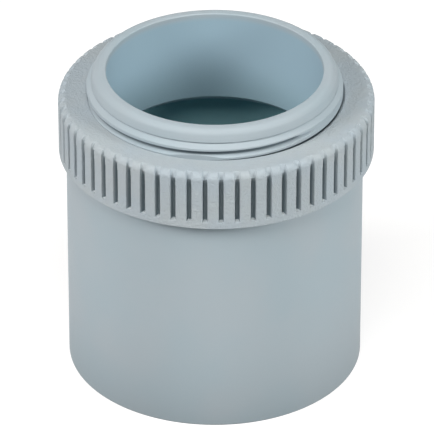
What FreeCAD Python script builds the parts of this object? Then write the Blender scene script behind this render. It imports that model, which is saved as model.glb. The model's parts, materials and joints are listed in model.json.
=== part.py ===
import FreeCAD, Part
import math
import os

import Sketcher

# Male conduit adaptor, 40 mm size, standing on its plain socket.
# The adaptor body is one moulding: socket below, shoulder, hollow spigot with an outside thread above.
# The lock ring is a ribbed ring nut that sits on the shoulder, around the thread.
# The origin is the centre of the socket's end face, with +Z along the axis towards the threaded end.

# Driving dimensions in millimetres and degrees: alias, value, meaning.
SIZES = [
    ("nominal_diameter", 40.0, "outside diameter of the conduit, which names the thread too"),
    ("socket_clearance", 0.15, "room around the conduit in the socket"),
    ("socket_wall", 2.71, "wall around the socket"),
    ("socket_depth", 34.45, "depth of the socket to the conduit stop"),
    ("socket_lead_in", 0.5, "chamfer at the mouth of the socket"),
    ("web_thickness", 2.0, "web between conduit stop and shoulder"),
    ("body_edge", 0.2, "rounding of the outside edges of the body"),
    ("spigot_length", 13.9, "shoulder to the end of the spigot"),
    ("spigot_wall", 2.2, "wall of the spigot under the thread root"),
    ("cable_edge", 0.2, "rounding where the cables leave the spigot"),
    ("stop_chamfer", 1.0, "chamfer where the cables enter the spigot"),
    ("nose_rounding", 1.1, "rounding of the end of the spigot"),
    ("nose_inset", 0.85, "nose radius under the thread crest"),
    ("nose_length", 2.0, "plain nose ahead of the thread"),
    ("nose_groove_depth", 1.0, "groove behind the nose, under the thread crest"),
    ("thread_allowance", 0.35, "how far the moulded thread is under its nominal radius"),
    ("thread_pitch", 1.5, "advance of the thread in one turn"),
    ("thread_depth", 0.8, "thread crest to root"),
    ("thread_root_flat", 0.2, "width of the thread root"),
    ("thread_flank", 30.0, "slope of each thread flank"),
    ("thread_run_in", 1.6, "plain run between shoulder and thread"),
    ("thread_end_turn", 48.0, "where the thread groove ends, right of the front"),
    ("flat_depth", 0.25, "parting flats, under the thread crest"),
    ("flat_turn", -5.5, "turn of the parting flats about the axis"),
    ("ring_clearance", 0.31, "room between thread crest and ring"),
    ("ring_play", 0.25, "how far the loose ring sits off the axis"),
    ("ring_wall", 4.29, "ring bore to rib crest"),
    ("ring_height", 9.55, "height of the ring"),
    ("ring_lead_in", 0.2, "chamfers at the ends of the ring bore"),
    ("ring_top_edge", 1.1, "rounding of the top of the ring, down to the ribs"),
    ("ring_foot_edge", 0.15, "rounding of the foot of the ring"),
    ("rib_count", 62, "ribs around the ring"),
    ("rib_turn", -1.17, "turn of the ribs about the axis"),
    ("rib_gap", 0.85, "width of the slot between two ribs"),
    ("rib_height", 1.0, "depth of the slot between two ribs"),
    ("lip_height", 1.1, "plain lip under the slots"),
    ("slot_end", 0.45, "top of the ring down to the upper end of the slots"),
    ("slot_run_out", 1.7, "height in which the slot floor rises to the rib crests"),
]

# Radii and levels that follow from the driving dimensions.
CREST_RADIUS = "(sizes.nominal_diameter / 2 - sizes.thread_allowance)"
ROOT_RADIUS = f"({CREST_RADIUS} - sizes.thread_depth)"
CABLE_RADIUS = f"({ROOT_RADIUS} - sizes.spigot_wall)"
SOCKET_RADIUS = "(sizes.nominal_diameter / 2 + sizes.socket_clearance)"
BODY_RADIUS = f"({SOCKET_RADIUS} + sizes.socket_wall)"
SHOULDER = "(sizes.socket_depth + sizes.web_thickness)"
SPIGOT_END = f"({SHOULDER} + sizes.spigot_length)"
FLANK_SLOPE = "tan(sizes.thread_flank * 1 deg)"

# The nose is narrower than the thread, with a groove behind it.
NOSE_RADIUS = f"({CREST_RADIUS} - sizes.nose_inset)"
NOSE_BASE = f"({SPIGOT_END} - sizes.nose_length)"
NOSE_GROOVE_RADIUS = f"({CREST_RADIUS} - sizes.nose_groove_depth)"
NOSE_GROOVE = f"({NOSE_BASE} - (sizes.nose_groove_depth - sizes.nose_inset) * {FLANK_SLOPE})"
THREAD_TOP = f"({NOSE_GROOVE} - sizes.nose_groove_depth * {FLANK_SLOPE})"
THREAD_FOOT = f"({SHOULDER} + sizes.thread_run_in)"

RING_BORE = f"({CREST_RADIUS} + sizes.ring_clearance)"
RING_RADIUS = f"({RING_BORE} + sizes.ring_wall)"
SLOT_RADIUS = f"({RING_RADIUS} - sizes.rib_height)"
SLOT_END = "(sizes.ring_height - sizes.slot_end)"

# Share of a turn from the start of the thread groove, on the -X side, to its end right of the front.
RUN_OUT_TURN = "((90 + sizes.thread_end_turn) / 360)"

doc = FreeCAD.newDocument("conduit_adaptor")


def add_sizes():
    """Writes the driving dimensions to the sheet, one aliased cell each."""
    sheet = doc.addObject("Spreadsheet::Sheet", "sizes")
    for row, (alias, value, meaning) in enumerate(SIZES, start=1):
        sheet.set(f"A{row}", meaning)
        sheet.set(f"B{row}", str(value))
        sheet.setAlias(f"B{row}", alias)
    doc.recompute()


def origin_feature(body, role):
    """Finds one of the body's own origin planes or axes by its role."""
    for feature in body.Origin.OriginFeatures:
        if feature.Role == role:
            return feature
    raise ValueError(f"{body.Label} has no {role}")


def arc_between(start, end, radius):
    """Makes the arc that turns left from start to end."""
    middle = (start + end) * 0.5
    chord = end - start
    rise = math.sqrt(max(radius**2 - (chord.Length / 2) ** 2, 0.0))
    left = FreeCAD.Vector(-chord.y, chord.x, 0) * (1 / chord.Length)
    centre = middle + left * rise
    first = math.atan2(start.y - centre.y, start.x - centre.x)
    last = math.atan2(end.y - centre.y, end.x - centre.x)
    return Part.ArcOfCircle(Part.Circle(centre, FreeCAD.Vector(0, 0, 1), radius), first, last)


def add_outline(body, name, role, corners):
    """Draws a closed anticlockwise outline on an origin plane, with every corner bound to the sheet.

    Each corner is (across, up), or (across, up, radius) where an arc of that radius leads to it.
    """
    sketch = body.newObject("Sketcher::SketchObject", name)
    sketch.AttachmentSupport = [(origin_feature(body, role), "")]
    sketch.MapMode = "FlatFace"
    doc.recompute()
    places = []
    for corner in corners:
        across, up = (float(sketch.evalExpression(size)) for size in corner[:2])
        places.append(FreeCAD.Vector(across, up))
    for index, corner in enumerate(corners):
        start, end = places[index - 1], places[index]
        if len(corner) == 3:
            sketch.addGeometry(arc_between(start, end, float(sketch.evalExpression(corner[2]))))
        else:
            sketch.addGeometry(Part.LineSegment(start, end))
    for index, corner in enumerate(corners):
        following = (index + 1) % len(corners)
        sketch.addConstraint(Sketcher.Constraint("Coincident", index, 2, following, 1))
        for kind, size, value in zip(("DistanceX", "DistanceY"), corner, places[index]):
            number = sketch.addConstraint(Sketcher.Constraint(kind, -1, 1, index, 2, value))
            sketch.setExpression(f"Constraints[{number}]", size)
        if len(corner) == 3:
            radius = float(sketch.evalExpression(corner[2]))
            number = sketch.addConstraint(Sketcher.Constraint("Radius", index, radius))
            sketch.setExpression(f"Constraints[{number}]", corner[2])
    return sketch


def revolve(body, name, sketch):
    """Turns a half section about the axis into the first solid of a body."""
    turned = body.newObject("PartDesign::Revolution", name)
    turned.Profile = sketch
    turned.ReferenceAxis = (sketch, ["V_Axis"])
    turned.Angle = 360
    sketch.Visibility = False
    doc.recompute()
    return turned


def add_adaptor_body():
    """Builds the moulding: socket, web, and spigot with its thread."""
    body = doc.addObject("PartDesign::Body", "adaptor_body")
    body.Label = "adaptor_body"
    section = add_outline(body, "moulding_section", "XZ_Plane", [
        (f"{SOCKET_RADIUS} + sizes.socket_lead_in", "0"),
        (f"{BODY_RADIUS} - sizes.body_edge", "0"),
        (BODY_RADIUS, "sizes.body_edge", "sizes.body_edge"),
        (BODY_RADIUS, f"{SHOULDER} - sizes.body_edge"),
        (f"{BODY_RADIUS} - sizes.body_edge", SHOULDER, "sizes.body_edge"),
        (ROOT_RADIUS, SHOULDER),
        (ROOT_RADIUS, THREAD_FOOT),
        (CREST_RADIUS, f"{THREAD_FOOT} + sizes.thread_depth * {FLANK_SLOPE}"),
        (CREST_RADIUS, THREAD_TOP),
        (NOSE_GROOVE_RADIUS, NOSE_GROOVE),
        (NOSE_RADIUS, NOSE_BASE),
        (NOSE_RADIUS, f"{SPIGOT_END} - sizes.nose_rounding"),
        (f"{NOSE_RADIUS} - sizes.nose_rounding", SPIGOT_END, "sizes.nose_rounding"),
        (f"{CABLE_RADIUS} + sizes.cable_edge", SPIGOT_END),
        (CABLE_RADIUS, f"{SPIGOT_END} - sizes.cable_edge", "sizes.cable_edge"),
        (CABLE_RADIUS, "sizes.socket_depth + sizes.stop_chamfer"),
        (f"{CABLE_RADIUS} + sizes.stop_chamfer", "sizes.socket_depth"),
        (SOCKET_RADIUS, "sizes.socket_depth"),
        (SOCKET_RADIUS, "sizes.socket_lead_in"),
    ])
    revolve(body, "moulding", section)
    cut_parting_flats(body)
    cut_thread(body)
    return body


def cut_parting_flats(body):
    """Takes the thread crests down to a flat at the front and the back, where the mould parts."""
    flat = f"({CREST_RADIUS} - sizes.flat_depth)"
    front = add_outline(body, "parting_flat_outline", "XY_Plane", [
        (f"-{CREST_RADIUS}", f"-{BODY_RADIUS}"),
        (CREST_RADIUS, f"-{BODY_RADIUS}"),
        (CREST_RADIUS, f"-{flat}"),
        (f"-{CREST_RADIUS}", f"-{flat}"),
    ])
    front.setExpression("AttachmentOffset.Base.z", NOSE_GROOVE)
    front.setExpression("AttachmentOffset.Rotation.Angle", "sizes.flat_turn")
    pocket = body.newObject("PartDesign::Pocket", "parting_flat")
    pocket.Profile = front
    pocket.setExpression("Length", f"{NOSE_GROOVE} - {THREAD_FOOT}")
    doc.recompute()
    pair = body.newObject("PartDesign::PolarPattern", "parting_flats")
    pair.Originals = [pocket]
    pair.Axis = (origin_feature(body, "Z_Axis"), [""])
    pair.Angle = 360
    pair.Occurrences = 2
    body.Tip = pair
    doc.recompute()


def cut_thread(body):
    """Cuts the helical groove from the plain run at the shoulder up to the last turn under the nose."""
    half_root = "sizes.thread_root_flat / 2"
    start = f"{SHOULDER} + sizes.thread_run_in / 2"
    outside = f"({CREST_RADIUS} + sizes.thread_depth)"
    half_mouth = f"({half_root} + 2 * sizes.thread_depth * {FLANK_SLOPE})"
    groove = add_outline(body, "thread_section", "XZ_Plane", [
        (f"-{outside}", f"{start} - {half_mouth}"),
        (f"-{ROOT_RADIUS}", f"{start} - {half_root}"),
        (f"-{ROOT_RADIUS}", f"{start} + {half_root}"),
        (f"-{outside}", f"{start} + {half_mouth}"),
    ])
    thread = body.newObject("PartDesign::SubtractiveHelix", "thread")
    thread.Profile = groove
    thread.ReferenceAxis = (groove, ["V_Axis"])
    thread.Mode = "pitch-turns-angle"
    thread.setExpression("Pitch", "sizes.thread_pitch")
    whole_turns = f"floor(({THREAD_TOP} - ({start})) / sizes.thread_pitch - {RUN_OUT_TURN})"
    thread.setExpression("Turns", f"{whole_turns} + {RUN_OUT_TURN}")
    thread.Angle = 0
    thread.LeftHanded = False
    thread.Reversed = False
    body.Tip = thread
    doc.recompute()


def add_lock_ring():
    """Builds the ribbed ring nut, standing on the shoulder."""
    body = doc.addObject("PartDesign::Body", "lock_ring")
    body.Label = "lock_ring"
    body.setExpression("Placement.Base.x", "sizes.ring_play")
    body.setExpression("Placement.Base.z", SHOULDER)
    section = add_outline(body, "ring_section", "XZ_Plane", [
        (f"{RING_BORE} + sizes.ring_lead_in", "0"),
        (f"{RING_RADIUS} - sizes.ring_foot_edge", "0"),
        (RING_RADIUS, "sizes.ring_foot_edge", "sizes.ring_foot_edge"),
        (RING_RADIUS, "sizes.ring_height - sizes.ring_top_edge"),
        (f"{RING_RADIUS} - sizes.ring_top_edge", "sizes.ring_height", "sizes.ring_top_edge"),
        (f"{RING_BORE} + sizes.ring_lead_in", "sizes.ring_height"),
        (RING_BORE, "sizes.ring_height - sizes.ring_lead_in"),
        (RING_BORE, "sizes.ring_lead_in"),
    ])
    revolve(body, "ring", section)
    slot = add_outline(body, "slot_outline", "YZ_Plane", [
        (f"-{RING_RADIUS} - sizes.rib_height", "sizes.lip_height"),
        (f"-{SLOT_RADIUS}", "sizes.lip_height"),
        (f"-{SLOT_RADIUS}", f"{SLOT_END} - sizes.slot_run_out"),
        (f"-{RING_RADIUS} - sizes.rib_height", f"{SLOT_END} + sizes.slot_run_out"),
    ])
    slot.AttachmentOffset = FreeCAD.Placement(FreeCAD.Vector(), FreeCAD.Rotation(FreeCAD.Vector(0, 1, 0), 1))
    slot.setExpression("AttachmentOffset.Rotation.Angle", "sizes.rib_turn + 180 / sizes.rib_count")
    first = body.newObject("PartDesign::Pocket", "slot")
    first.Profile = slot
    first.Midplane = True
    first.setExpression("Length", "sizes.rib_gap")
    doc.recompute()
    slots = body.newObject("PartDesign::PolarPattern", "slots")
    slots.Originals = [first]
    slots.Axis = (origin_feature(body, "Z_Axis"), [""])
    slots.Angle = 360
    slots.setExpression("Occurrences", "sizes.rib_count")
    body.Tip = slots
    doc.recompute()
    return body


def check_document(pieces):
    """Stops if any object failed or a piece is not one sound solid."""
    for item in doc.Objects:
        if "Invalid" in item.State or "Error" in item.State:
            raise RuntimeError(f"{item.Label} failed: {item.State}")
    for piece in pieces:
        shape = piece.Shape
        if shape.isNull() or not shape.isValid() or len(shape.Solids) != 1:
            raise RuntimeError(f"{piece.Label} is not one valid solid")


add_sizes()
pieces = [add_adaptor_body(), add_lock_ring()]
doc.recompute()
check_document(pieces)
os.makedirs("parts", exist_ok=True)
for piece in pieces:
    piece.Shape.exportStep(f"parts/{piece.Label}.step")
    print(piece.Label, "volume", round(piece.Shape.Volume, 2), "box", piece.Shape.BoundBox)
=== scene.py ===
"""Male conduit adapter: a socket with a threaded spigot, and the ribbed lock ring on its thread."""

import json
import logging
import math
from dataclasses import dataclass, field, replace
from enum import Enum

import bpy
from bpy.types import Material, Node, NodeSocket, NodeTree, Object
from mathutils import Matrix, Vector


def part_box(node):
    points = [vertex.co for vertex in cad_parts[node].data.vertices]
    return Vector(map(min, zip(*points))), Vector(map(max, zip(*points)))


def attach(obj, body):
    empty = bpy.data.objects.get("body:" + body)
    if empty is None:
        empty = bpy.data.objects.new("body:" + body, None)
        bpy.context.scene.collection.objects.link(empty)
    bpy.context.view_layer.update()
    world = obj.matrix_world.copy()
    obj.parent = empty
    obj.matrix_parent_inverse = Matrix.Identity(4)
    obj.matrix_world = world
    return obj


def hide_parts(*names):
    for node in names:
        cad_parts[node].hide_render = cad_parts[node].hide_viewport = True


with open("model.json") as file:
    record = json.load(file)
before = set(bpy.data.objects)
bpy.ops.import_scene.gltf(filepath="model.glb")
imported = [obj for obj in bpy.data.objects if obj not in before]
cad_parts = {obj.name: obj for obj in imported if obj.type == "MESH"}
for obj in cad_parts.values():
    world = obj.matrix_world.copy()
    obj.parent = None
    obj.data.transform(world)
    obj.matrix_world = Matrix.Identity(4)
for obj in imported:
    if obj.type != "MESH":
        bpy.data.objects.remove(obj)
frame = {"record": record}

LOG = logging.getLogger("conduit_adapter")
MM = 0.001
FULL_TURN = 2 * math.pi
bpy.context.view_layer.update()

# Millimetres: merging of doubles, reach of a cutter past a surface, widening of a cutter out there.
WELD = 0.0005
OVERCUT = 0.1
OPENING = 0.01

# Degrees above which an edge stays sharp.
SHARP_EDGE = 35

# Sockets of a colour mix node, whose names aren't unique.
MIX_SHARE, MIX_FROM, MIX_TO, MIX_RESULT = 0, 6, 7, 2

Point = tuple[float, float]
Colour = tuple[float, float, float, float]

WHITE: Colour = (1.0, 1.0, 1.0, 1.0)
# Colours of painted shade in hollows and of a painted highlight on the ring's ledges, standing in for
# light, not colours of the plastic.
PAINTED_GROOVE_SHADE: Colour = (0.14, 0.18, 0.205, 1.0)
PAINTED_BORE_SHADE: Colour = (0.31, 0.44, 0.52, 1.0)
PAINTED_THROAT_SHADE: Colour = (0.28, 0.41, 0.475, 1.0)
PAINTED_SOCKET_SHADE: Colour = (0.24, 0.45, 0.49, 1.0)
PAINTED_SLOT_SHADE: Colour = (0.21, 0.26, 0.285, 1.0)
PAINTED_LEDGE_HIGHLIGHT: Colour = (0.6, 0.66, 0.69, 1.0)


class MouldSurface(Enum):
    """How the steel of the mould was finished, which the plastic copies."""

    HONED = "honed"
    ERODED = "eroded"


def mount(name: str) -> dict:
    """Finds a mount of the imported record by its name."""
    return next(entry for entry in frame["record"]["mounts"] if entry["name"] == name)


def node_box(name: str) -> tuple[Vector, Vector]:
    """Gives the lowest and highest corner of a CAD node, in millimetres."""
    low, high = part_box(name)
    return Vector(low) / MM, Vector(high) / MM


def arc(centre: Point, radius: float, first: float, last: float, steps: int) -> list[Point]:
    """Samples an arc of a section.

    Args:
        centre: Middle of the arc, as radius and height in millimetres.
        radius: Radius of the arc in millimetres.
        first: Angle of the first point in degrees, from the outward direction.
        last: Angle of the last point in degrees.
        steps: Number of chords.

    Returns:
        The points from first to last, both included.
    """
    angles = [math.radians(first + (last - first) * step / steps) for step in range(steps + 1)]
    across, up = centre
    return [(across + radius * math.cos(angle), up + radius * math.sin(angle)) for angle in angles]


def eased(before: Point, corner: Point, after: Point, radius: float, steps: int = 4) -> list[Point]:
    """Rounds one corner of a section.

    Args:
        before: The corner ahead of it.
        corner: The corner that is rounded.
        after: The corner behind it.
        radius: Radius of the rounding in millimetres.
        steps: Number of chords.

    Returns:
        The points of the arc that takes the place of the corner.
    """
    here = Vector(corner)
    back = (Vector(before) - here).normalized()
    ahead = (Vector(after) - here).normalized()
    half = back.angle(ahead) / 2
    centre = here + (back + ahead).normalized() * (radius / math.sin(half))
    start = here + back * (radius / math.tan(half)) - centre
    end = here + ahead * (radius / math.tan(half)) - centre
    sweep = start.angle(end)
    points = []
    for step in range(steps + 1):
        share = step / steps
        offset = (start * math.sin((1 - share) * sweep) + end * math.sin(share * sweep)) / math.sin(sweep)
        points.append((centre.x + offset.x, centre.y + offset.y))
    return points


class Bench:
    """The modelling steps that every piece is made with."""

    @staticmethod
    def clear() -> None:
        """Deselects everything, the CAD nodes among it."""
        bpy.ops.object.select_all(action="DESELECT")

    @staticmethod
    def pick(piece: Object) -> None:
        """Makes one object the only selected and the active one.

        Args:
            piece: The object.
        """
        Bench.clear()
        piece.select_set(True)
        bpy.context.view_layer.objects.active = piece

    @staticmethod
    def draw(name: str, points: list[Vector]) -> Object:
        """Draws a closed wire, corner by corner.

        Args:
            name: Name of the new object.
            points: Corners of the wire in metres.

        Returns:
            The new object, in object mode.
        """
        Bench.clear()
        bpy.ops.mesh.primitive_plane_add(size=MM)
        wire = bpy.context.object
        wire.name = name
        wire.data.name = name
        bpy.ops.object.mode_set(mode="EDIT")
        bpy.ops.mesh.select_all(action="SELECT")
        bpy.ops.mesh.merge(type="CENTER")
        bpy.ops.transform.translate(value=points[0])
        for here, there in zip(points, points[1:]):
            bpy.ops.mesh.extrude_vertices_move(TRANSFORM_OT_translate={"value": there - here})
        bpy.ops.mesh.select_all(action="DESELECT")
        bpy.ops.object.mode_set(mode="OBJECT")
        wire.data.vertices[0].select = True
        wire.data.vertices[len(points) - 1].select = True
        bpy.ops.object.mode_set(mode="EDIT")
        bpy.ops.mesh.edge_face_add()
        bpy.ops.object.mode_set(mode="OBJECT")
        return wire

    @staticmethod
    def close_up() -> None:
        """Merges doubles of the mesh in edit mode and turns its faces outwards."""
        bpy.ops.mesh.select_all(action="SELECT")
        bpy.ops.mesh.remove_doubles(threshold=WELD * MM)
        bpy.ops.mesh.normals_make_consistent(inside=False)

    @staticmethod
    def turn_solid(name: str, section: list[Point], steps: int) -> Object:
        """Spins a closed half section about the axis.

        Args:
            name: Name of the new object.
            section: Corners as radius and height in millimetres.
            steps: Facets around the axis.

        Returns:
            The closed solid.
        """
        solid = Bench.draw(name, [Vector((radius, 0, height)) * MM for radius, height in section])
        bpy.ops.object.mode_set(mode="EDIT")
        bpy.ops.mesh.select_all(action="SELECT")
        bpy.ops.mesh.spin(steps=steps, angle=FULL_TURN, center=(0, 0, 0), axis=(0, 0, 1))
        Bench.close_up()
        bpy.ops.object.mode_set(mode="OBJECT")
        return solid

    @staticmethod
    def screw_solid(
        name: str, section: list[Point], pitch: float, turns: float, steps: int, run_out: float = 0.0
    ) -> Object:
        """Sweeps a closed section up a right-hand helix that starts on the -X side.

        Args:
            name: Name of the new object.
            section: Corners as radius and height in millimetres.
            pitch: Rise of one turn in millimetres.
            turns: Number of turns.
            steps: Facets in one turn.
            run_out: Share of a turn in which the end widens until its inside reaches its outside.

        Returns:
            The closed solid.
        """
        solid = Bench.draw(name, [Vector((-radius, 0, height)) * MM for radius, height in section])
        bpy.ops.object.modifier_add(type="SCREW")
        helix = solid.modifiers[-1]
        helix.axis = "Z"
        helix.angle = FULL_TURN * turns
        helix.screw_offset = pitch * turns * MM
        helix.steps = helix.render_steps = round(steps * turns)
        bpy.ops.object.modifier_apply(modifier=helix.name)
        radii = [radius for radius, _ in section]
        fading = round(steps * run_out)
        for step in range(1, fading + 1):
            growth = 1 + (max(radii) / min(radii) - 1) * step / fading
            first = len(solid.data.vertices) - (fading - step + 1) * len(section)
            Bench.widen(solid, range(first, first + len(section)), growth)
        bpy.ops.object.mode_set(mode="EDIT")
        bpy.ops.mesh.select_all(action="SELECT")
        bpy.ops.mesh.fill_holes(sides=0)
        Bench.close_up()
        bpy.ops.object.mode_set(mode="OBJECT")
        return solid

    @staticmethod
    def widen(piece: Object, vertices: range, growth: float) -> None:
        """Moves some vertices of the picked piece away from the axis.

        Args:
            piece: The piece, in object mode.
            vertices: Indices of the vertices that move.
            growth: Factor on their distance from the axis.
        """
        bpy.ops.object.mode_set(mode="EDIT")
        bpy.ops.mesh.select_all(action="DESELECT")
        bpy.ops.object.mode_set(mode="OBJECT")
        for index in vertices:
            piece.data.vertices[index].select = True
        bpy.ops.object.mode_set(mode="EDIT")
        bpy.ops.transform.resize(value=(growth, growth, 1), center_override=(0, 0, 0))
        bpy.ops.object.mode_set(mode="OBJECT")

    @staticmethod
    def cut(target: Object, tool: Object) -> None:
        """Cuts a tool out of a target and puts the tool away.

        Args:
            target: The closed mesh that is cut.
            tool: The closed mesh that cuts it.
        """
        Bench.pick(target)
        bpy.ops.object.modifier_add(type="BOOLEAN")
        step = target.modifiers[-1]
        step.operation = "DIFFERENCE"
        step.solver = "EXACT"
        step.object = tool
        bpy.ops.object.modifier_apply(modifier=step.name)
        bpy.data.objects.remove(tool)

    @staticmethod
    def smooth(piece: Object, angle: float) -> None:
        """Merges doubles of a piece and shades it smooth, apart from its sharp edges.

        Args:
            piece: The finished mesh.
            angle: Angle in degrees above which an edge stays sharp.
        """
        Bench.pick(piece)
        bpy.ops.object.mode_set(mode="EDIT")
        Bench.close_up()
        bpy.ops.object.mode_set(mode="OBJECT")
        bpy.ops.object.shade_smooth_by_angle(angle=math.radians(angle))
        bpy.ops.object.modifier_add(type="WEIGHTED_NORMAL")
        weighted = piece.modifiers[-1]
        weighted.keep_sharp = True
        bpy.ops.object.modifier_apply(modifier=weighted.name)


class Effects:
    """Shader node groups that more than one finish uses."""

    CLOUDS = "moulded_clouds"
    CLOUD_OCTAVES = 3.0
    CLOUD_ROUGHNESS = 0.45
    CLOUD_RANGE = (0.34, 0.66)
    GRAIN = "moulded_grain"
    GRAIN_OCTAVES = 4.0
    GRAIN_ROUGHNESS = 0.6
    GRAIN_RANGE = (0.3, 0.7)
    PAINTED_SHADING_MASK = "recess_mask"

    @staticmethod
    def new_group(
        name: str, inputs: dict[str, str], outputs: dict[str, str]
    ) -> tuple[NodeTree, Node, Node]:
        """Starts a shader node group.

        Args:
            name: Name of the group.
            inputs: Socket type of each named input.
            outputs: Socket type of each named output.

        Returns:
            The group, its input node and its output node.
        """
        group = bpy.data.node_groups.new(name, "ShaderNodeTree")
        for label, kind in inputs.items():
            group.interface.new_socket(name=label, in_out="INPUT", socket_type=kind)
        for label, kind in outputs.items():
            group.interface.new_socket(name=label, in_out="OUTPUT", socket_type=kind)
        return group, group.nodes.new("NodeGroupInput"), group.nodes.new("NodeGroupOutput")

    @staticmethod
    def noise(tree: NodeTree, start: Node, octaves: float, roughness: float) -> NodeSocket:
        """Adds a noise texture to a group.

        Args:
            tree: The group.
            start: Input node of the group, with the place and the scale.
            octaves: Number of octaves.
            roughness: Weight of the finer octaves.

        Returns:
            The noise value.
        """
        texture = tree.nodes.new("ShaderNodeTexNoise")
        texture.inputs["Detail"].default_value = octaves
        texture.inputs["Roughness"].default_value = roughness
        for socket in ("Vector", "Scale"):
            tree.links.new(start.outputs[socket], texture.inputs[socket])
        return texture.outputs["Fac"]

    @classmethod
    def build(cls) -> None:
        """Builds the groups once."""
        cls.build_clouds()
        cls.build_grain()
        cls.build_painted_shading_mask()

    @classmethod
    def build_clouds(cls) -> None:
        """Builds the soft drift between two tones that uneven pigment leaves in the plastic."""
        group, start, end = cls.new_group(
            cls.CLOUDS,
            {
                "Vector": "NodeSocketVector",
                "Scale": "NodeSocketFloat",
                "Base": "NodeSocketColor",
                "Drift": "NodeSocketColor",
            },
            {"Color": "NodeSocketColor"},
        )
        value = cls.noise(group, start, cls.CLOUD_OCTAVES, cls.CLOUD_ROUGHNESS)
        spread = group.nodes.new("ShaderNodeMapRange")
        spread.interpolation_type = "SMOOTHSTEP"
        spread.inputs["From Min"].default_value, spread.inputs["From Max"].default_value = cls.CLOUD_RANGE
        group.links.new(value, spread.inputs["Value"])
        blend = group.nodes.new("ShaderNodeMix")
        blend.data_type = "RGBA"
        group.links.new(spread.outputs["Result"], blend.inputs[MIX_SHARE])
        group.links.new(start.outputs["Base"], blend.inputs[MIX_FROM])
        group.links.new(start.outputs["Drift"], blend.inputs[MIX_TO])
        group.links.new(blend.outputs[MIX_RESULT], end.inputs["Color"])

    @classmethod
    def build_grain(cls) -> None:
        """Builds the fine tooth of the mould, as a height and a roughness."""
        group, start, end = cls.new_group(
            cls.GRAIN,
            {
                "Vector": "NodeSocketVector",
                "Scale": "NodeSocketFloat",
                "Smoothest": "NodeSocketFloat",
                "Roughest": "NodeSocketFloat",
            },
            {"Height": "NodeSocketFloat", "Roughness": "NodeSocketFloat"},
        )
        value = cls.noise(group, start, cls.GRAIN_OCTAVES, cls.GRAIN_ROUGHNESS)
        rough = group.nodes.new("ShaderNodeMapRange")
        rough.inputs["From Min"].default_value, rough.inputs["From Max"].default_value = cls.GRAIN_RANGE
        group.links.new(value, rough.inputs["Value"])
        group.links.new(start.outputs["Smoothest"], rough.inputs["To Min"])
        group.links.new(start.outputs["Roughest"], rough.inputs["To Max"])
        group.links.new(value, end.inputs["Height"])
        group.links.new(rough.outputs["Result"], end.inputs["Roughness"])

    @classmethod
    def build_painted_shading_mask(cls) -> None:
        """Builds the mask of a recess around an upright axis, from its floor out to its edge, which
        places painted shade and painted highlights.
        """
        group, start, end = cls.new_group(
            cls.PAINTED_SHADING_MASK,
            {
                "Vector": "NodeSocketVector",
                "Centre": "NodeSocketVector",
                "Floor Radius": "NodeSocketFloat",
                "Edge Radius": "NodeSocketFloat",
                "Foot": "NodeSocketFloat",
                "Foot of Fade": "NodeSocketFloat",
                "Top of Fade": "NodeSocketFloat",
            },
            {"Mask": "NodeSocketFloat"},
        )
        offset = group.nodes.new("ShaderNodeVectorMath")
        offset.operation = "SUBTRACT"
        group.links.new(start.outputs["Vector"], offset.inputs[0])
        group.links.new(start.outputs["Centre"], offset.inputs[1])
        level = group.nodes.new("ShaderNodeVectorMath")
        level.operation = "MULTIPLY"
        level.inputs[1].default_value = (1.0, 1.0, 0.0)
        group.links.new(offset.outputs["Vector"], level.inputs[0])
        radius = group.nodes.new("ShaderNodeVectorMath")
        radius.operation = "LENGTH"
        group.links.new(level.outputs["Vector"], radius.inputs[0])
        height = group.nodes.new("ShaderNodeSeparateXYZ")
        group.links.new(start.outputs["Vector"], height.inputs[0])

        ramps = []
        for value, low, high in (
            (radius.outputs["Value"], "Floor Radius", "Edge Radius"),
            (height.outputs["Z"], "Foot of Fade", "Top of Fade"),
        ):
            ramp = group.nodes.new("ShaderNodeMapRange")
            ramp.interpolation_type = "SMOOTHSTEP"
            ramp.inputs["To Min"].default_value = 1.0
            ramp.inputs["To Max"].default_value = 0.0
            group.links.new(value, ramp.inputs["Value"])
            group.links.new(start.outputs[low], ramp.inputs["From Min"])
            group.links.new(start.outputs[high], ramp.inputs["From Max"])
            ramps.append(ramp.outputs["Result"])
        above = group.nodes.new("ShaderNodeMath")
        above.operation = "GREATER_THAN"
        group.links.new(height.outputs["Z"], above.inputs[0])
        group.links.new(start.outputs["Foot"], above.inputs[1])
        mask = above.outputs[0]
        for ramp in ramps:
            share = group.nodes.new("ShaderNodeMath")
            share.operation = "MULTIPLY"
            group.links.new(mask, share.inputs[0])
            group.links.new(ramp, share.inputs[1])
            mask = share.outputs[0]
        group.links.new(mask, end.inputs["Mask"])


@dataclass(frozen=True)
class PaintedRecessShading:
    """Colour that stands in for the light in a recess around an upright axis, in millimetres: painted
    shade in hollows and a painted highlight on ledges.
    """

    colour: Colour
    floor_radius: float
    edge_radius: float
    foot: float
    fade_foot: float
    fade_top: float
    centre: float = 0.0

    def mix_in(self, tree: NodeTree, place: NodeSocket, colour: NodeSocket) -> NodeSocket:
        """Adds the painted shading to a material.

        Args:
            tree: Node tree of the material.
            place: Object coordinates.
            colour: The colour outside the recess.

        Returns:
            The colour with the painted shading in it.
        """
        recess = tree.nodes.new("ShaderNodeGroup")
        recess.node_tree = bpy.data.node_groups[Effects.PAINTED_SHADING_MASK]
        recess.inputs["Centre"].default_value = (self.centre * MM, 0.0, 0.0)
        recess.inputs["Floor Radius"].default_value = self.floor_radius * MM
        recess.inputs["Edge Radius"].default_value = self.edge_radius * MM
        recess.inputs["Foot"].default_value = self.foot * MM
        recess.inputs["Foot of Fade"].default_value = self.fade_foot * MM
        recess.inputs["Top of Fade"].default_value = self.fade_top * MM
        tree.links.new(place, recess.inputs["Vector"])
        blend = tree.nodes.new("ShaderNodeMix")
        blend.data_type = "RGBA"
        blend.inputs[MIX_TO].default_value = self.colour
        tree.links.new(recess.outputs["Mask"], blend.inputs[MIX_SHARE])
        tree.links.new(colour, blend.inputs[MIX_FROM])
        return blend.outputs[MIX_RESULT]


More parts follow.
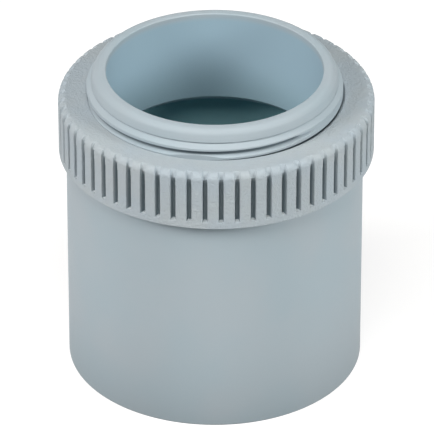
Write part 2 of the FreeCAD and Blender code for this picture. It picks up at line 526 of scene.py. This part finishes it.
@dataclass(frozen=True)
class PlasticFinish:
    """Matte moulded plastic with a soft drift of tone and the tooth of its mould."""

    name: str
    base: Colour
    drift: Colour
    surface: MouldSurface
    cloud_size: float = 14.0
    specular: float = 0.15
    # Painted shade in hollows and painted highlights on ledges, mixed into the colour.
    painted_shading: tuple[PaintedRecessShading, ...] = ()

    @property
    def grain_size(self) -> float:
        """Size of the mould's tooth in millimetres."""
        return {MouldSurface.HONED: 0.28, MouldSurface.ERODED: 0.42}[self.surface]

    @property
    def grain_depth(self) -> float:
        """Depth of the mould's tooth in millimetres."""
        return {MouldSurface.HONED: 0.012, MouldSurface.ERODED: 0.17}[self.surface]

    @property
    def roughness(self) -> tuple[float, float]:
        """Smoothest and roughest value of the surface."""
        return {MouldSurface.HONED: (0.44, 0.54), MouldSurface.ERODED: (0.54, 0.68)}[self.surface]

    def material(self) -> Material:
        """Builds the material.

        Returns:
            The new material.
        """
        material = bpy.data.materials.new(self.name)
        material.use_nodes = True
        tree = material.node_tree
        shader = next(node for node in tree.nodes if node.type == "BSDF_PRINCIPLED")
        shader.inputs["Specular IOR Level"].default_value = self.specular
        place = tree.nodes.new("ShaderNodeTexCoord").outputs["Object"]

        clouds = tree.nodes.new("ShaderNodeGroup")
        clouds.node_tree = bpy.data.node_groups[Effects.CLOUDS]
        clouds.inputs["Scale"].default_value = 1 / (self.cloud_size * MM)
        clouds.inputs["Base"].default_value = self.base
        clouds.inputs["Drift"].default_value = self.drift
        tree.links.new(place, clouds.inputs["Vector"])
        colour = clouds.outputs["Color"]
        # Painted shading goes over the plastic's drifting colour.
        for recess in self.painted_shading:
            colour = recess.mix_in(tree, place, colour)
        tree.links.new(colour, shader.inputs["Base Color"])

        grain = tree.nodes.new("ShaderNodeGroup")
        grain.node_tree = bpy.data.node_groups[Effects.GRAIN]
        grain.inputs["Scale"].default_value = 1 / (self.grain_size * MM)
        grain.inputs["Smoothest"].default_value, grain.inputs["Roughest"].default_value = self.roughness
        tree.links.new(place, grain.inputs["Vector"])
        tree.links.new(grain.outputs["Roughness"], shader.inputs["Roughness"])

        bump = tree.nodes.new("ShaderNodeBump")
        bump.inputs["Distance"].default_value = self.grain_depth * MM
        tree.links.new(grain.outputs["Height"], bump.inputs["Height"])
        tree.links.new(bump.outputs["Normal"], shader.inputs["Normal"])
        return material

    def dress(self, piece: Object) -> None:
        """Gives a piece this finish."""
        piece.data.materials.clear()
        piece.data.materials.append(self.material())


@dataclass(frozen=True)
class ScrewThread:
    """The right-hand thread that the spigot and the lock ring share, in millimetres."""

    crest_radius: float = mount("male_thread")["dims"]["r_mm"]
    pitch: float = 1.5
    depth: float = 0.8
    root_flat: float = 0.2
    flank: float = 30.0
    crest_easing: float = 0.14
    groove_reach: float = 0.3
    run_in: float = 1.9
    end_turn: float = 56.0
    run_out: float = 0.05
    steps: int = 180

    @property
    def root_radius(self) -> float:
        """Radius at the bottom of the groove."""
        return self.crest_radius - self.depth

    @property
    def slope(self) -> float:
        """Rise of a flank for each millimetre of depth."""
        return math.tan(math.radians(self.flank))

    @property
    def mouth(self) -> float:
        """Half the width of the groove at the crest."""
        return self.root_flat / 2 + self.depth * self.slope

    def groove(self, height: float) -> list[Point]:
        """Gives the section of the spigot's groove, with eased crests.

        Args:
            height: Level of the middle of the groove.

        Returns:
            The corners as radius and height.
        """
        outside = self.crest_radius + self.groove_reach
        root = (self.root_radius, self.root_flat / 2)
        corner = (self.crest_radius, self.mouth)
        crest = (self.crest_radius, self.mouth + self.pitch)
        crown = eased(root, corner, crest, self.crest_easing, steps=5)[:-1]
        upper = [root, *crown, (outside, crown[-1][1] + OPENING)]
        lower = [(radius, -level) for radius, level in reversed(upper)]
        return [(radius, height + level) for radius, level in (*lower, *upper)]


@dataclass
class AdaptorMoulding:
    """Socket, shoulder and threaded spigot in one moulding, in millimetres."""

    thread: ScrewThread
    finish: PlasticFinish
    body_radius: float = node_box("adaptor_body")[1].x
    height: float = node_box("adaptor_body")[1].z
    socket_radius: float = mount("conduit_socket")["dims"]["r_mm"]
    cable_radius: float = mount("cable_bore")["dims"]["r_mm"]
    shoulder: float = node_box("lock_ring")[0].z
    web: float = 2.0
    shoulder_fillet: float = 0.25
    run_in_easing: float = 0.2
    body_edge: float = 0.2
    socket_lead_in: float = 0.5
    stop_chamfer: float = 1.0
    stop_easing: float = 0.4
    cable_edge: float = 0.2
    nose_rounding: float = 1.2
    nose_inset: float = 0.7
    nose_length: float = 1.91
    nose_taper: float = 15.0
    nose_foot_easing: float = 0.08
    nose_groove_depth: float = 1.0
    nose_groove_fillet: float = 0.05
    groove_easing: float = 0.14
    flat_depth: float = 0.4
    flat_turn: float = -8.5
    flat_drop: float = 0.6
    flat_block: float = 2.0
    facets: int = 256

    @property
    def stop(self) -> float:
        """Level of the stop that the conduit is pushed in to."""
        return self.shoulder - self.web

    @property
    def groove_level(self) -> float:
        """Level of the groove between nose and thread."""
        step = self.nose_groove_depth - self.nose_inset
        return self.height - self.nose_length - step * self.thread.slope

    @property
    def thread_top(self) -> float:
        """Level of the upper end of the thread's crests."""
        return self.groove_level - self.nose_groove_depth * self.thread.slope

    @property
    def nose_centre(self) -> Point:
        """Centre of the rounding at the top of the nose's tapered wall.

        Returns:
            Its radius and height.
        """
        taper = math.radians(self.nose_taper)
        rise = self.nose_length - self.nose_rounding * (1 - math.sin(taper))
        reach = self.nose_rounding * math.cos(taper) + rise * math.tan(taper)
        return self.thread.crest_radius - self.nose_inset - reach, self.height - self.nose_rounding

    def section(self) -> list[Point]:
        """Gives the half section of the moulding without its thread.

        Returns:
            The corners as radius and height.
        """
        thread = self.thread
        edge, easing = self.body_edge, self.stop_easing
        nose_base = (thread.crest_radius - self.nose_inset, self.height - self.nose_length)
        nose = arc(self.nose_centre, self.nose_rounding, self.nose_taper, 90, steps=12)
        groove = (thread.crest_radius - self.nose_groove_depth, self.groove_level)
        thread_top = (thread.crest_radius, self.thread_top)
        shoulder_rim = (self.body_radius, self.shoulder)
        corner = (thread.root_radius, self.shoulder)
        foot = (thread.root_radius, self.shoulder + thread.run_in)
        crest_foot = (thread.crest_radius, foot[1] + thread.depth * thread.slope)
        cable_rim = (self.cable_radius + self.cable_edge, self.height - self.cable_edge)
        return [
            (self.socket_radius + self.socket_lead_in, 0.0),
            *arc((self.body_radius - edge, edge), edge, -90, 0, steps=5),
            *arc((self.body_radius - edge, self.shoulder - edge), edge, 0, 90, steps=5),
            *eased(shoulder_rim, corner, foot, self.shoulder_fillet),
            *eased(corner, foot, crest_foot, self.run_in_easing),
            *eased(foot, crest_foot, thread_top, self.run_in_easing),
            *eased(crest_foot, thread_top, groove, self.groove_easing),
            *eased(thread_top, groove, nose_base, self.nose_groove_fillet, steps=3),
            *eased(groove, nose_base, nose[0], self.nose_foot_easing, steps=3),
            *nose,
            *arc(cable_rim, self.cable_edge, 90, 180, steps=8),
            (self.cable_radius, self.stop + self.stop_chamfer),
            (self.cable_radius + self.stop_chamfer, self.stop),
            *arc((self.socket_radius - easing, self.stop - easing), easing, 90, 0, steps=4),
            (self.socket_radius, self.socket_lead_in),
        ]

    def painted_shading(self) -> tuple[PaintedRecessShading, ...]:
        """Gives the painted shade in the thread's grooves, in the cable bore and its throat, and in the
        socket.

        Returns:
            The tones in the order in which they cover each other.
        """
        thread, stop, bore, socket = self.thread, self.stop, self.cable_radius, self.socket_radius
        # Painted shade at the roots of the thread's grooves.
        grooves = PaintedRecessShading(
            colour=PAINTED_GROOVE_SHADE,
            floor_radius=thread.root_radius + 0.05,
            edge_radius=thread.root_radius + 0.4,
            foot=self.shoulder + 2 * thread.run_in,
            fade_foot=self.thread_top - 0.3,
            fade_top=self.thread_top - 0.1,
        )
        # Painted shade down the cable bore, bluer and darker than the plastic.
        cable_bore = PaintedRecessShading(
            colour=PAINTED_BORE_SHADE,
            floor_radius=bore + 0.05,
            edge_radius=bore + 0.15,
            foot=stop,
            fade_foot=self.height - 1.5,
            fade_top=self.height - 0.2,
        )
        # Painted shade, deeper still, down the throat of the cable bore.
        throat = PaintedRecessShading(
            colour=PAINTED_THROAT_SHADE,
            floor_radius=bore + 1.2,
            edge_radius=bore + 1.5,
            foot=stop,
            fade_foot=stop + 1,
            fade_top=stop + 9,
        )
        # Painted shade deep in the conduit socket.
        conduit_socket = PaintedRecessShading(
            colour=PAINTED_SOCKET_SHADE,
            floor_radius=socket + 0.1,
            edge_radius=socket + 0.5,
            foot=3.0,
            fade_foot=stop,
            fade_top=stop + 0.1,
        )
        return grooves, cable_bore, throat, conduit_socket

    def cut_flats(self, moulding: Object) -> None:
        """Takes the thread crests down to a flat at the front and the back, where the mould parts.

        Args:
            moulding: The turned moulding.
        """
        thread = self.thread
        flat = thread.crest_radius - self.flat_depth
        foot = self.shoulder + thread.run_in
        top = self.thread_top - self.flat_drop * thread.pitch
        depth = self.flat_block
        for side in (-1, 1):
            Bench.clear()
            bpy.ops.mesh.primitive_cube_add(size=1)
            block = bpy.context.object
            block.dimensions = (thread.crest_radius * MM, depth * MM, (top - foot) * MM)
            block.location = Vector((0, side * (flat + depth / 2), (top + foot) / 2)) * MM
            bpy.ops.object.transform_apply(location=True, rotation=False, scale=True)
            block.rotation_euler.z = math.radians(self.flat_turn)
            bpy.ops.object.transform_apply(location=False, rotation=True, scale=False)
            Bench.cut(moulding, block)

    def cut_thread(self, moulding: Object) -> None:
        """Cuts the helical groove from the plain run at the shoulder up to the last turn under the nose.

        Args:
            moulding: The turned moulding.
        """
        thread = self.thread
        start = self.shoulder + thread.run_in / 2
        # The helix starts on the -X side, a quarter turn ahead of the front that end_turn counts from.
        last_turn = (90 + thread.end_turn) / 360
        turns = math.floor((self.thread_top - start) / thread.pitch - last_turn) + last_turn
        cutter = Bench.screw_solid(
            "thread_groove", thread.groove(start), thread.pitch, turns, thread.steps, thread.run_out
        )
        Bench.cut(moulding, cutter)

    def build(self) -> Object:
        """Models, dresses and seats the moulding.

        Returns:
            The finished piece.
        """
        moulding = Bench.turn_solid("adaptor_moulding", self.section(), self.facets)
        self.cut_flats(moulding)
        self.cut_thread(moulding)
        Bench.smooth(moulding, SHARP_EDGE)
        replace(self.finish, painted_shading=self.painted_shading()).dress(moulding)
        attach(moulding, "adaptor")
        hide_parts("adaptor_body")
        return moulding


@dataclass
class LockRing:
    """Ring nut with upright ribs around its rim, in millimetres."""

    thread: ScrewThread
    finish: PlasticFinish
    low: Vector = field(default_factory=lambda: node_box("lock_ring")[0])
    high: Vector = field(default_factory=lambda: node_box("lock_ring")[1])
    wall: float = 4.29
    ridge_height: float = 0.8
    mouth_inset: float = 0.26
    mouth_edge: float = 0.06
    flank_room: float = 0.24
    lead_in: float = 0.2
    top_edge: float = 1.1
    foot_edge: float = 0.15
    rib_count: int = 62
    rib_turn: float = -1.17
    rib_height: float = 1.0
    rib_easing: float = 0.16
    slot_floor: float = 0.24
    slot_fillet: float = 0.1
    slot_mouth: float = 0.42
    slot_reach: float = 0.5
    slot_run_out: float = 2.3
    slot_flare: float = 1.25
    crown_depth: float = 0.36
    lip: float = 1.1
    facets: int = 240

    @property
    def radius(self) -> float:
        """Radius over the ribs."""
        return (self.high.y - self.low.y) / 2

    @property
    def offset(self) -> float:
        """How far the loose ring sits off the axis."""
        return (self.high.x + self.low.x) / 2

    @property
    def ledge(self) -> float:
        """Level of the lip's upper side, where the slots begin."""
        return self.low.z + self.lip

    @property
    def major_radius(self) -> float:
        """Radius at the bottom of the ring's own groove."""
        return self.radius - self.wall

    @property
    def mouth_radius(self) -> float:
        """Radius of the ring's upper mouth."""
        return self.major_radius - self.mouth_inset

    @property
    def minor_radius(self) -> float:
        """Radius over the ring's own thread ridge."""
        return self.major_radius - self.ridge_height

    def section(self) -> list[Point]:
        """Gives the half section of the ring before its slots and thread.

        Returns:
            The corners as radius and height.
        """
        foot, top = self.low.z, self.high.z
        return [
            (self.major_radius + self.lead_in, foot),
            *arc((self.radius - self.foot_edge, foot + self.foot_edge), self.foot_edge, -90, 0, steps=4),
            *arc((self.radius - self.top_edge, top - self.top_edge), self.top_edge, 0, 90, steps=10),
            (self.mouth_radius + self.mouth_edge, top),
            (self.mouth_radius, top - self.mouth_edge),
            (self.minor_radius, top - self.mouth_edge - self.mouth_radius + self.minor_radius),
            (self.minor_radius, foot + self.lead_in + self.ridge_height),
        ]

    def slot_section(self) -> list[Point]:
        """Gives the plan of one slot, with sloped walls and eased rib edges.

        Returns:
            The corners as distance across and radius.
        """
        level = self.radius - self.rib_height
        floor = (self.slot_floor, level)
        edge = (self.slot_mouth, self.radius)
        rib = (self.slot_mouth + self.rib_height, self.radius)
        fillet = eased((-self.slot_floor, level), floor, edge, self.slot_fillet, steps=3)
        crown = eased(floor, edge, rib, self.rib_easing, steps=5)[:-1]
        right = [*fillet, *crown, (crown[-1][0] + OPENING, self.radius + self.slot_reach)]
        return [(-across, radius) for across, radius in reversed(right)] + right

    def slot_rise(self) -> list[tuple[float, float, float]]:
        """Gives the way the slot floor rises and runs out over the rounded edge, between the rib crowns.

        Returns:
            Shift outwards, level and growth in width, from one step to the next.
        """
        top, edge = self.high.z, self.top_edge
        side = self.rib_height - self.crown_depth
        bend = edge * (1 - math.sqrt(0.5))
        return [
            (0.0, top - self.slot_run_out, 1.0),
            (side - OVERCUT, top - edge, self.slot_flare),
            (side - bend, top - bend - self.crown_depth / 2, self.slot_flare),
            (-OVERCUT, top + OVERCUT / 2, self.slot_flare),
        ]

    def painted_shading(self) -> tuple[PaintedRecessShading, ...]:
        """Gives the painted shade in the slots and the painted highlight on the ledges under them.

        Returns:
            The tones in the order in which they cover each other.
        """
        rim, ledge, top = self.radius, self.ledge, self.high.z
        # Painted shade in the slots, fading out towards their lit tops.
        slots = PaintedRecessShading(
            colour=PAINTED_SLOT_SHADE,
            floor_radius=rim - 0.7,
            edge_radius=rim - 0.12,
            foot=ledge + 0.03,
            fade_foot=top - 2.1,
            fade_top=top - 0.9,
            centre=self.offset,
        )
        # Painted highlight on the ledges at the feet of the slots.
        ledges = PaintedRecessShading(
            colour=PAINTED_LEDGE_HIGHLIGHT,
            floor_radius=rim - 0.4,
            edge_radius=rim - 0.1,
            foot=ledge - 0.02,
            fade_foot=ledge + 0.01,
            fade_top=ledge + 0.03,
            centre=self.offset,
        )
        return slots, ledges

    def cut_slots(self, ring: Object) -> None:
        """Cuts the slots that leave the ribs standing, from the lip up to where their floors run out.

        Args:
            ring: The turned ring.
        """
        plan = [Vector((across, -radius, self.ledge)) * MM for across, radius in self.slot_section()]
        slot = Bench.draw("rib_slots", plan)
        bpy.ops.object.mode_set(mode="EDIT")
        bpy.ops.mesh.select_all(action="SELECT")
        bpy.ops.mesh.edge_face_add()
        shift, level = 0.0, self.ledge
        for next_shift, next_level, flare in self.slot_rise():
            move = Vector((0, shift - next_shift, next_level - level)) * MM
            bpy.ops.mesh.extrude_region_move(TRANSFORM_OT_translate={"value": move})
            bpy.ops.transform.resize(value=(flare, 1.0, 1.0))
            shift, level = next_shift, next_level
        Bench.close_up()
        bpy.ops.object.mode_set(mode="OBJECT")
        half_rib = 180 / self.rib_count
        slot.rotation_euler.z = math.radians(self.rib_turn + half_rib)
        bpy.ops.object.transform_apply(location=False, rotation=True, scale=False)
        bpy.ops.object.mode_set(mode="EDIT")
        bpy.ops.mesh.select_all(action="SELECT")
        copies = self.rib_count - 1
        sweep = FULL_TURN * copies / self.rib_count
        bpy.ops.mesh.spin(steps=copies, dupli=True, angle=sweep, center=(0, 0, 0), axis=(0, 0, 1))
        bpy.ops.object.mode_set(mode="OBJECT")
        Bench.cut(ring, slot)

    def cut_thread(self, ring: Object) -> None:
        """Cuts the groove that runs around the ridge of the spigot's thread.

        Args:
            ring: The turned ring.
        """
        thread = self.thread
        ridge = self.low.z + thread.run_in / 2 + thread.pitch / 2
        start = ridge - 2 * thread.pitch
        turns = math.ceil((self.high.z + thread.pitch - start) / thread.pitch)
        half_crest = thread.pitch / 2 - thread.mouth

        def half_width(radius: float) -> float:
            """Half the groove's width at a radius."""
            return half_crest + (thread.crest_radius - radius) * thread.slope + self.flank_room

        inside = self.minor_radius - OVERCUT
        upper = [(self.major_radius, half_width(self.major_radius)), (inside, half_width(inside))]
        section = [(radius, start - level) for radius, level in reversed(upper)]
        section += [(radius, start + level) for radius, level in upper]
        cutter = Bench.screw_solid("ring_groove", section, thread.pitch, turns, thread.steps)
        Bench.cut(ring, cutter)

    def build(self) -> Object:
        """Models, dresses and seats the ring.

        Returns:
            The finished piece.
        """
        ring = Bench.turn_solid("ribbed_lock_ring", self.section(), self.facets)
        self.cut_slots(ring)
        self.cut_thread(ring)
        Bench.pick(ring)
        ring.location.x = self.offset * MM
        bpy.ops.object.transform_apply(location=True, rotation=False, scale=False)
        Bench.smooth(ring, SHARP_EDGE)
        replace(self.finish, painted_shading=self.painted_shading()).dress(ring)
        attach(ring, "ring")
        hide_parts("lock_ring")
        return ring


@dataclass(frozen=True)
class SoftBox:
    """A large soft lamp that faces the fitting, in degrees, metres and watts."""

    name: str
    azimuth: float
    elevation: float
    distance: float
    size: float
    power: float
    colour: tuple[float, float, float]

    def build(self, aim: Vector) -> None:
        """Hangs the lamp.

        Args:
            aim: The point that it faces, in metres.
        """
        turn, lift = math.radians(self.azimuth), math.radians(self.elevation)
        away = Vector((math.sin(turn) * math.cos(lift), -math.cos(turn) * math.cos(lift), math.sin(lift)))
        lamp = bpy.data.lights.new(self.name, "AREA")
        lamp.shape = "DISK"
        lamp.size = self.size
        lamp.energy = self.power
        lamp.color = self.colour
        holder = bpy.data.objects.new(self.name, lamp)
        holder.location = aim + away * self.distance
        holder.rotation_euler = away.to_track_quat("Z", "Y").to_euler()
        bpy.context.collection.objects.link(holder)


@dataclass
class Studio:
    """Floor, light and camera, in metres, with the lens and its sensor in millimetres."""

    aim: Vector = field(default_factory=lambda: Vector((0.346, 0.0, 23.54)) * MM)
    elevation: float = 32.0
    distance: float = 0.8733
    lens: float = 466.8
    sensor: float = 36.0
    ambient: float = 0.05
    floor_size: float = 6.0
    floor_tone: float = 1.0
    floor_glow: float = 0.73
    floor_shade: float = 0.36
    # The floor's colour to indirect rays: a painted contact shadow out to the first edge, and a painted
    # falloff beyond the second.
    painted_contact_shadow_edge: tuple[float, float] = (0.03, 0.062)
    painted_falloff_edge: tuple[float, float] = (0.065, 0.11)
    painted_falloff_share: float = 0.1

    @staticmethod
    def seen_directly(tree: NodeTree) -> NodeSocket:
        """Adds the test for rays that show the backdrop: camera, glossy and transmission rays.

        Args:
            tree: Node tree of the world or the floor.

        Returns:
            1 for such rays and 0 for the rest.
        """
        path = tree.nodes.new("ShaderNodeLightPath")
        seen = path.outputs["Is Camera Ray"]
        for ray in ("Is Glossy Ray", "Is Transmission Ray"):
            either = tree.nodes.new("ShaderNodeMath")
            either.operation = "MAXIMUM"
            tree.links.new(seen, either.inputs[0])
            tree.links.new(path.outputs[ray], either.inputs[1])
            seen = either.outputs[0]
        return seen

    def build_world(self) -> None:
        """Makes an even soft light that looks white behind the fitting."""
        world = bpy.data.worlds.new("studio")
        world.use_nodes = True
        tree = world.node_tree
        light = next(node for node in tree.nodes if node.type == "BACKGROUND")
        light.inputs["Color"].default_value = WHITE
        light.inputs["Strength"].default_value = self.ambient
        white = tree.nodes.new("ShaderNodeBackground")
        white.inputs["Color"].default_value = WHITE
        white.inputs["Strength"].default_value = 1.0
        choice = tree.nodes.new("ShaderNodeMixShader")
        output = next(node for node in tree.nodes if node.type == "OUTPUT_WORLD")
        tree.links.new(self.seen_directly(tree), choice.inputs["Fac"])
        tree.links.new(light.outputs[0], choice.inputs[1])
        tree.links.new(white.outputs[0], choice.inputs[2])
        tree.links.new(choice.outputs[0], output.inputs["Surface"])
        bpy.context.scene.world = world

    def build_floor(self) -> None:
        """Lays a plain white floor that keeps the fitting's soft shadow.

        To indirect rays its colour carries a painted contact shadow at the fitting's foot and a painted
        falloff far away, with a painted pool of light in a ring between.
        """
        Bench.clear()
        bpy.ops.mesh.primitive_plane_add(size=self.floor_size)
        floor = bpy.context.object
        floor.name = "floor"
        material = bpy.data.materials.new("white_floor")
        material.use_nodes = True
        tree = material.node_tree
        tree.nodes.clear()
        output = tree.nodes.new("ShaderNodeOutputMaterial")
        distance = tree.nodes.new("ShaderNodeVectorMath")
        distance.operation = "LENGTH"
        tree.links.new(tree.nodes.new("ShaderNodeTexCoord").outputs["Object"], distance.inputs[0])
        tone = tree.nodes.new("ShaderNodeMath")
        tone.operation = "MULTIPLY"
        # Painted contact shadow near the foot and painted falloff far away, with a painted pool of light
        # between.
        zones = ((self.painted_contact_shadow_edge, 0.0, self.floor_tone), (self.painted_falloff_edge, 1.0, self.painted_falloff_share))
        for socket, (edge, inner, outer) in zip(tone.inputs, zones):
            zone = tree.nodes.new("ShaderNodeMapRange")
            zone.inputs["From Min"].default_value, zone.inputs["From Max"].default_value = edge
            zone.inputs["To Min"].default_value, zone.inputs["To Max"].default_value = inner, outer
            tree.links.new(distance.outputs["Value"], zone.inputs["Value"])
            tree.links.new(zone.outputs["Result"], socket)
        bounce_with_painted_shadow = tree.nodes.new("ShaderNodeBsdfDiffuse")
        tree.links.new(tone.outputs[0], bounce_with_painted_shadow.inputs["Color"])
        shade = tree.nodes.new("ShaderNodeBsdfDiffuse")
        shade.inputs["Color"].default_value = (*[self.floor_shade] * 3, 1.0)
        glow = tree.nodes.new("ShaderNodeEmission")
        glow.inputs["Strength"].default_value = self.floor_glow
        lit = tree.nodes.new("ShaderNodeAddShader")
        tree.links.new(shade.outputs[0], lit.inputs[0])
        tree.links.new(glow.outputs[0], lit.inputs[1])
        choice = tree.nodes.new("ShaderNodeMixShader")
        tree.links.new(self.seen_directly(tree), choice.inputs["Fac"])
        tree.links.new(bounce_with_painted_shadow.outputs[0], choice.inputs[1])
        tree.links.new(lit.outputs[0], choice.inputs[2])
        tree.links.new(choice.outputs[0], output.inputs["Surface"])
        floor.data.materials.append(material)

    def build_lamps(self) -> None:
        """Hangs the soft lamps: one above, and one low on each side."""
        boxes = [
            SoftBox(
                "key_box",
                azimuth=-5,
                elevation=62,
                distance=1.0,
                size=0.5,
                power=5.3,
                colour=(1.0, 0.98, 0.95),
            ),
            SoftBox(
                "left_box",
                azimuth=-64,
                elevation=32,
                distance=0.9,
                size=0.4,
                power=6.2,
                colour=(1.0, 0.96, 0.94),
            ),
            SoftBox(
                "right_box",
                azimuth=62,
                elevation=24,
                distance=0.9,
                size=0.4,
                power=5.8,
                colour=(1.0, 0.99, 0.97),
            ),
        ]
        for box in boxes:
            box.build(self.aim)

    def build_camera(self) -> None:
        """Sets the camera at the photograph's viewing angle."""
        lens = bpy.data.cameras.new("view")
        lens.lens = self.lens
        lens.sensor_width = self.sensor
        camera = bpy.data.objects.new("view", lens)
        lift = math.radians(self.elevation)
        camera.location = self.aim + Vector((0, -math.cos(lift), math.sin(lift))) * self.distance
        camera.rotation_euler = (math.pi / 2 - lift, 0, 0)
        bpy.context.collection.objects.link(camera)
        bpy.context.scene.camera = camera

    def build(self) -> None:
        """Builds the whole studio."""
        bpy.context.scene.view_settings.view_transform = "Standard"
        self.build_world()
        self.build_floor()
        self.build_lamps()
        self.build_camera()


def main() -> None:
    """Builds the fitting and its studio in order."""
    logging.basicConfig(level=logging.INFO, format="%(name)s: %(message)s")
    Effects.build()
    thread = ScrewThread()
    moulding_finish = PlasticFinish(
        "moulded_pvc",
        base=(0.35, 0.43, 0.475, 1.0),
        drift=(0.37, 0.435, 0.475, 1.0),
        surface=MouldSurface.HONED,
    )
    ring_finish = PlasticFinish(
        "ring_moulded_pvc",
        base=(0.385, 0.45, 0.495, 1.0),
        drift=(0.40, 0.455, 0.485, 1.0),
        surface=MouldSurface.ERODED,
        cloud_size=6.0,
    )
    for maker in (AdaptorMoulding(thread, moulding_finish), LockRing(thread, ring_finish)):
        piece = maker.build()
        LOG.info("%s: %d faces", piece.name, len(piece.data.polygons))
    Studio().build()


if __name__ == "__main__":
    main()
